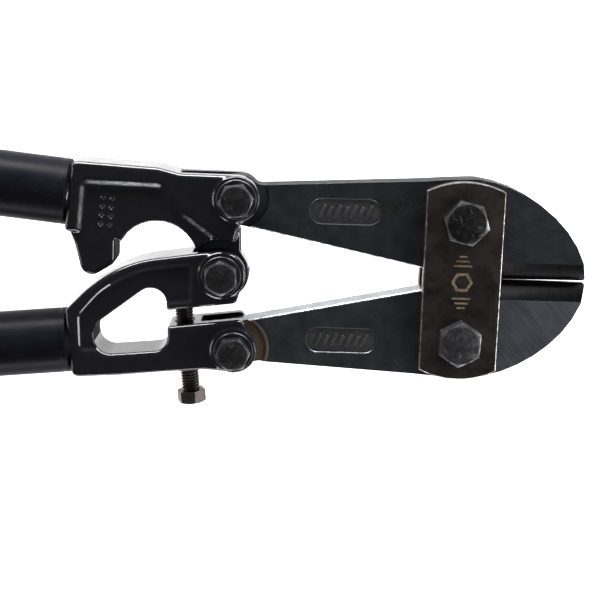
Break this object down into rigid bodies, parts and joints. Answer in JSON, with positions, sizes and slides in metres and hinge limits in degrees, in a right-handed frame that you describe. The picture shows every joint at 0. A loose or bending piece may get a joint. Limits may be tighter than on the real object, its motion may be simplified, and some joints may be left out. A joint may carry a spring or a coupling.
{
  "type": "bolt cutters",
  "caption": "Long-handled bolt cutters with compound levers: two forged jaws between side plates, forged handle heads, adjusting screw, tube handles and rubber grips.",
  "frame": {"origin": "middle of the bounding box in X and Y, at the level of the lowest bolt ends", "axes": "+X towards the jaw tips, +Y towards the upper jaw, +Z along the pivot bolts towards their heads; the handles are closed"},
  "size_m": [0.75, 0.2018, 0.0452],
  "materials": {
    "jaw_steel": "dark oxide, ground faces",
    "plate_steel": "dark brown-black oxide",
    "bolt_steel": "dark oxide",
    "screw_steel": "plain oiled steel",
    "black_enamel": "gloss black enamel",
    "black_coating": "satin black powder coat",
    "grip_rubber": "moulded black rubber"
  },
  "bodies": {
    "link_plates": {"front_side_plate": "plate_steel", "rear_side_plate": "plate_steel", "upper_jaw_bolt": "bolt_steel", "upper_jaw_washer": "bolt_steel", "upper_jaw_nut": "bolt_steel", "lower_jaw_bolt": "bolt_steel", "lower_jaw_washer": "bolt_steel", "lower_jaw_nut": "bolt_steel"},
    "upper_jaw_arm": {"upper_jaw": "jaw_steel"},
    "lower_jaw_arm": {"lower_jaw": "jaw_steel"},
    "upper_handle": {"upper_handle_head": "black_enamel", "upper_handle_tube": "black_coating", "upper_grip": "grip_rubber", "upper_pivot_bolt": "bolt_steel", "upper_pivot_front_washer": "bolt_steel", "upper_pivot_rear_washer": "bolt_steel", "upper_pivot_nut": "bolt_steel"},
    "lower_handle": {"lower_handle_head": "black_enamel", "lower_handle_tube": "black_coating", "lower_grip": "grip_rubber", "lower_pivot_bolt": "bolt_steel", "lower_pivot_front_washer": "bolt_steel", "lower_pivot_rear_washer": "bolt_steel", "lower_pivot_nut": "bolt_steel", "centre_pivot_bolt": "bolt_steel", "centre_pivot_front_washer": "bolt_steel", "centre_pivot_rear_washer": "bolt_steel", "centre_pivot_nut": "bolt_steel"},
    "stop_screw": {"adjusting_screw": "screw_steel"}
  },
  "joints": [
    {"name": "upper_jaw_swing", "type": "hinge", "parent": "link_plates", "child": "upper_jaw_arm", "pos_m": [0.3215, 0.0258, 0.026], "axis": [0, 0, 1], "range_deg": [0, 7.5]},
    {"name": "lower_jaw_swing", "type": "hinge", "parent": "link_plates", "child": "lower_jaw_arm", "pos_m": [0.3215, -0.0258, 0.026], "axis": [0, 0, -1], "range_deg": [0, 7.5]},
    {"name": "upper_handle_open", "type": "hinge", "parent": "upper_jaw_arm", "child": "upper_handle", "pos_m": [0.226, 0.0324, 0.026], "axis": [0, 0, -1], "range_deg": [0, 53]},
    {"name": "lower_handle_open", "type": "hinge", "parent": "lower_jaw_arm", "child": "lower_handle", "pos_m": [0.226, -0.0324, 0.026], "axis": [0, 0, 1], "range_deg": [0, 53.1]},
    {"name": "adjusting_screw_turn", "type": "hinge", "parent": "lower_handle", "child": "stop_screw", "pos_m": [0.2042, -0.0205, 0.026], "axis": [0.0985, -0.9951, 0], "range_deg": [0, 360]}
  ],
  "couplings": [
    {"joint": "lower_handle_open", "follows": "upper_handle_open", "ratio": 1},
    {"joint": "upper_jaw_swing", "follows": "upper_handle_open", "ratio": 0.139},
    {"joint": "lower_jaw_swing", "follows": "upper_handle_open", "ratio": 0.139}
  ]
}
